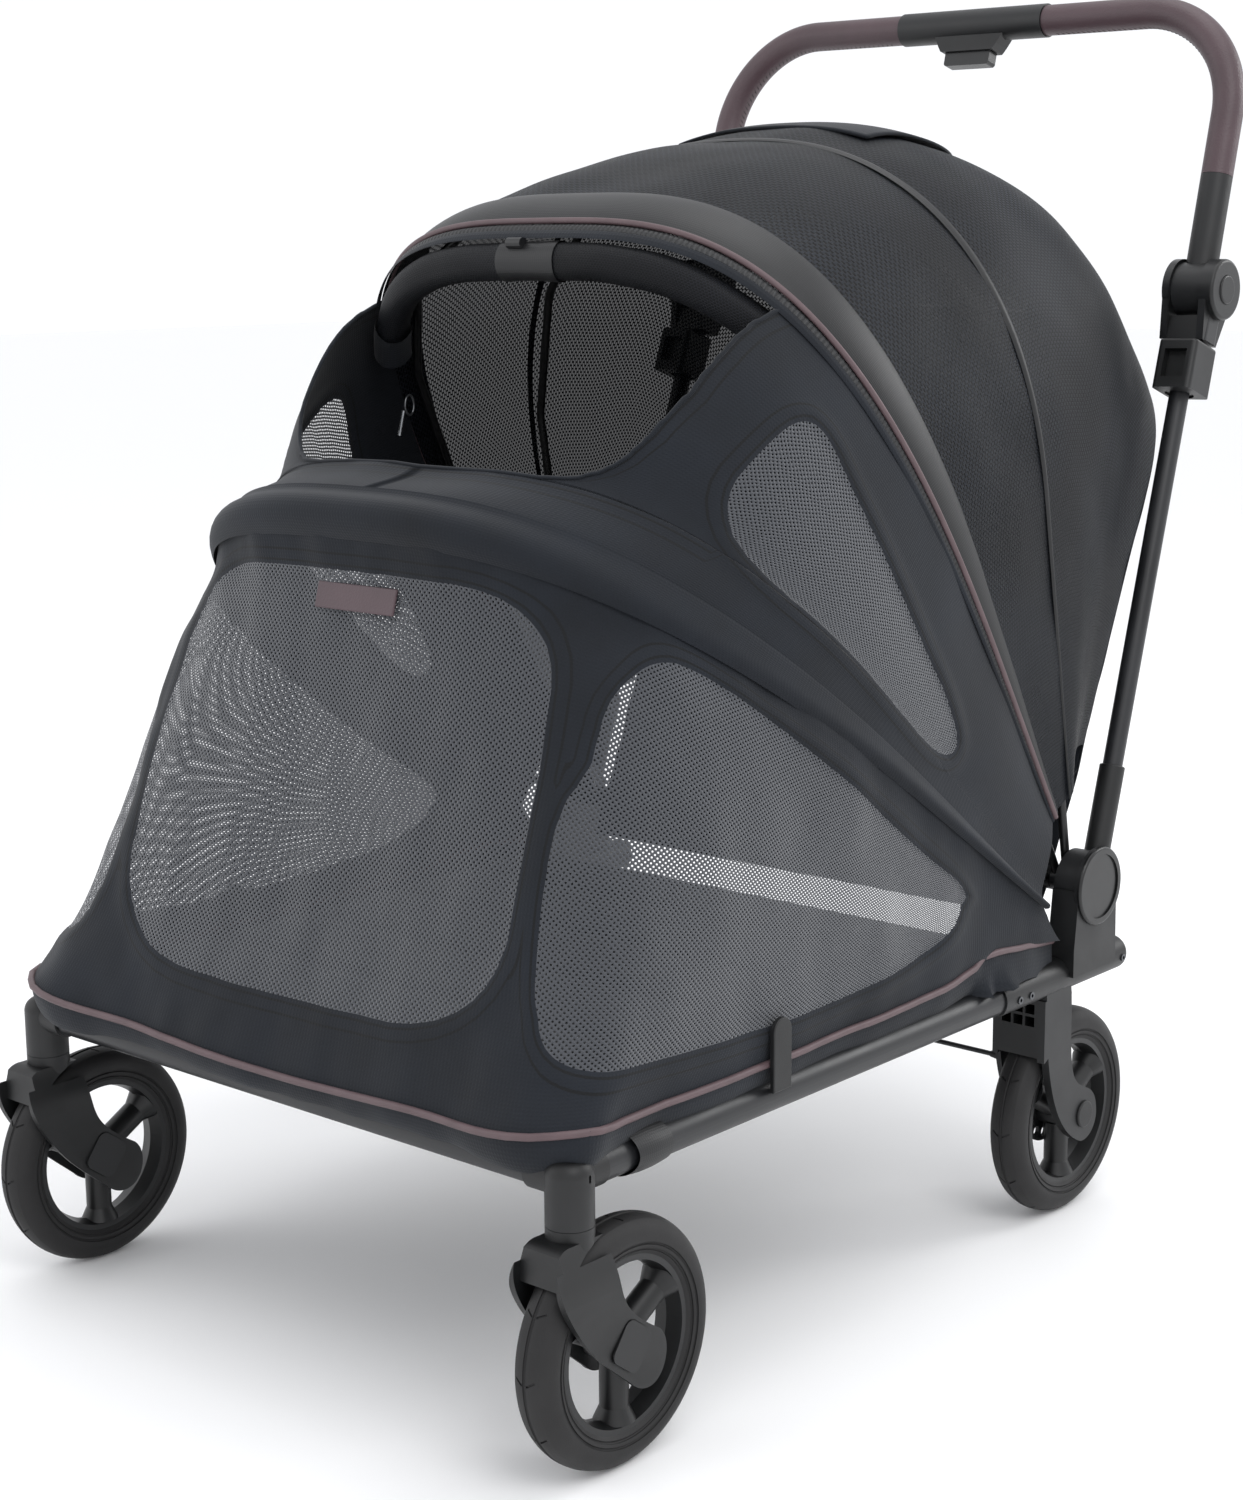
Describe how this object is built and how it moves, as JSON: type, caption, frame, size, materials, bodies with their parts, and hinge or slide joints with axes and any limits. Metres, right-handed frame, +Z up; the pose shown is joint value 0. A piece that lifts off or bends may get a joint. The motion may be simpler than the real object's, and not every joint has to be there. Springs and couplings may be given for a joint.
{
  "type": "pet stroller",
  "caption": "Folding pet stroller: low tube frame on four wheels, fabric cabin on fanning hoops, push handle with a tilting bar.",
  "frame": {"origin": "on the floor under the middle of the overall box", "axes": "+Z up, the front of the stroller points to -Y, +X is the pusher's left"},
  "size_m": [0.659, 1.0132, 1.0987],
  "materials": {
    "satin_black_tube": "satin black powder coat",
    "black_moulding": "fine textured black nylon",
    "wheel_moulding": "satin black moulded rim",
    "foam_tyre": "matte black solid foam tyre",
    "bare_steel": "zinc plated steel",
    "cabin_fabric": "charcoal woven polyester",
    "canopy_mesh": "coarse black spacer mesh",
    "board_fabric": "black covered board",
    "cushion_fabric": "dark grey quilted pad",
    "grip_leather": "mauve brown leatherette",
    "cable_jacket": "black cable jacket"
  },
  "bodies": {
    "frame": {"side_tube_left": "satin_black_tube", "side_tube_right": "satin_black_tube", "cross_tubes": "satin_black_tube", "front_elbow_left": "black_moulding", "front_elbow_right": "black_moulding", "rear_bracket_left": "black_moulding", "rear_bracket_right": "black_moulding", "hinge_covers": "black_moulding", "hinge_pins": "bare_steel", "bracket_screws": "bare_steel", "rear_fork_left": "black_moulding", "rear_fork_right": "black_moulding", "rear_axles": "bare_steel", "brake_cable": "cable_jacket", "floor_board": "board_fabric", "cushion": "cushion_fabric", "fold_catches": "black_moulding", "lower_cabin": "cabin_fabric"},
    "brake_pedal": {"brake_pedal": "black_moulding"},
    "brake_pin_left": {"brake_pin_left": "bare_steel"},
    "brake_pin_right": {"brake_pin_right": "bare_steel"},
    "caster_left": {"caster_fork_left": "black_moulding", "caster_stem_left": "bare_steel", "front_axle_left": "bare_steel"},
    "caster_right": {"caster_fork_right": "black_moulding", "caster_stem_right": "bare_steel", "front_axle_right": "bare_steel"},
    "front_wheel_left": {"front_tyre_left": "foam_tyre", "front_rim_left": "wheel_moulding"},
    "front_wheel_right": {"front_tyre_right": "foam_tyre", "front_rim_right": "wheel_moulding"},
    "rear_wheel_left": {"rear_tyre_left": "foam_tyre", "rear_rim_left": "wheel_moulding"},
    "rear_wheel_right": {"rear_tyre_right": "foam_tyre", "rear_rim_right": "wheel_moulding"},
    "ridge": {"ridge_hoop": "satin_black_tube", "front_panel": "cabin_fabric"},
    "band": {"band_hoop": "satin_black_tube", "rolled_door": "canopy_mesh", "canopy_front": "canopy_mesh"},
    "canopy": {"canopy_hoop": "satin_black_tube", "canopy_rear": "canopy_mesh"},
    "push_frame": {"handle_knuckle_left": "black_moulding", "handle_knuckle_right": "black_moulding", "lower_tube_left": "satin_black_tube", "lower_tube_right": "satin_black_tube", "upper_tube_left": "satin_black_tube", "upper_tube_right": "satin_black_tube", "fold_latch_left": "black_moulding", "fold_latch_right": "black_moulding", "back_panel": "canopy_mesh"},
    "tilt_button_left": {"tilt_button_left": "black_moulding"},
    "tilt_button_right": {"tilt_button_right": "black_moulding"},
    "bar": {"handle_tube": "satin_black_tube", "tilt_arm_left": "black_moulding", "tilt_arm_right": "black_moulding", "grip_left": "grip_leather", "grip_right": "grip_leather", "handle_bracket": "black_moulding"},
    "release_button": {"release_button": "black_moulding"}
  },
  "joints": [
    {"name": "fold", "type": "hinge", "parent": "frame", "child": "ridge", "pos_m": [0, 0.22737, 0.31], "axis": [1, 0, 0], "range_deg": [0, 31.2], "deforming": ["lower_cabin", "front_panel", "canopy_front", "canopy_rear", "back_panel", "rolled_door"]},
    {"name": "band_fold", "type": "hinge", "parent": "ridge", "child": "band", "pos_m": [0, 0.22737, 0.31], "axis": [1, 0, 0], "range_deg": [0, 26.4]},
    {"name": "canopy_fold", "type": "hinge", "parent": "band", "child": "canopy", "pos_m": [0, 0.22737, 0.31], "axis": [1, 0, 0], "range_deg": [0, 15.2]},
    {"name": "push_frame_fold", "type": "hinge", "parent": "canopy", "child": "push_frame", "pos_m": [0, 0.22737, 0.31], "axis": [1, 0, 0], "range_deg": [0, 28.4]},
    {"name": "bar_tilt", "type": "hinge", "parent": "push_frame", "child": "bar", "pos_m": [0.29202, 0.42167, 0.82897], "axis": [1, 0, 0], "range_deg": [-120, 45]},
    {"name": "release_press", "type": "slide", "parent": "bar", "child": "release_button", "axis": [0, 0.2622, 0.965], "range_m": [0, 0.006], "stiffness_N_per_m": 600, "springref_m": -0.003},
    {"name": "tilt_press_left", "type": "slide", "parent": "push_frame", "child": "tilt_button_left", "axis": [-1, 0, 0], "range_m": [0, 0.004], "stiffness_N_per_m": 600, "springref_m": -0.003},
    {"name": "tilt_press_right", "type": "slide", "parent": "push_frame", "child": "tilt_button_right", "axis": [1, 0, 0], "range_m": [0, 0.004], "stiffness_N_per_m": 600, "springref_m": -0.003},
    {"name": "brake_press", "type": "hinge", "parent": "frame", "child": "brake_pedal", "pos_m": [-0.2576, 0.18138, 0.165], "axis": [-1, 0, 0], "range_deg": [0, 18]},
    {"name": "brake_pin_left_slide", "type": "slide", "parent": "frame", "child": "brake_pin_left", "axis": [1, 0, 0], "range_m": [0, 0.007]},
    {"name": "brake_pin_right_slide", "type": "slide", "parent": "frame", "child": "brake_pin_right", "axis": [-1, 0, 0], "range_m": [0, 0.007]},
    {"name": "caster_swivel_left", "type": "hinge", "parent": "frame", "child": "caster_left", "pos_m": [0.303, -0.45663, 0.2], "axis": [0, 0, 1], "continuous": true},
    {"name": "front_wheel_spin_left", "type": "hinge", "parent": "caster_left", "child": "front_wheel_left", "pos_m": [0.303, -0.41163, 0.095], "axis": [1, 0, 0], "continuous": true},
    {"name": "rear_wheel_spin_left", "type": "hinge", "parent": "frame", "child": "rear_wheel_left", "pos_m": [0.284, 0.22637, 0.095], "axis": [1, 0, 0], "continuous": true},
    {"name": "caster_swivel_right", "type": "hinge", "parent": "frame", "child": "caster_right", "pos_m": [-0.303, -0.45663, 0.2], "axis": [0, 0, 1], "continuous": true},
    {"name": "front_wheel_spin_right", "type": "hinge", "parent": "caster_right", "child": "front_wheel_right", "pos_m": [-0.303, -0.41163, 0.095], "axis": [1, 0, 0], "continuous": true},
    {"name": "rear_wheel_spin_right", "type": "hinge", "parent": "frame", "child": "rear_wheel_right", "pos_m": [-0.284, 0.22637, 0.095], "axis": [1, 0, 0], "continuous": true}
  ],
  "couplings": [
    {"joint": "band_fold", "follows": "fold", "ratio": 0.84615},
    {"joint": "canopy_fold", "follows": "fold", "ratio": 0.48717},
    {"joint": "push_frame_fold", "follows": "fold", "ratio": 0.91025},
    {"joint": "brake_pin_left_slide", "follows": "brake_press", "m_per_rad": 0.02228},
    {"joint": "brake_pin_right_slide", "follows": "brake_press", "m_per_rad": 0.02228}
  ]
}
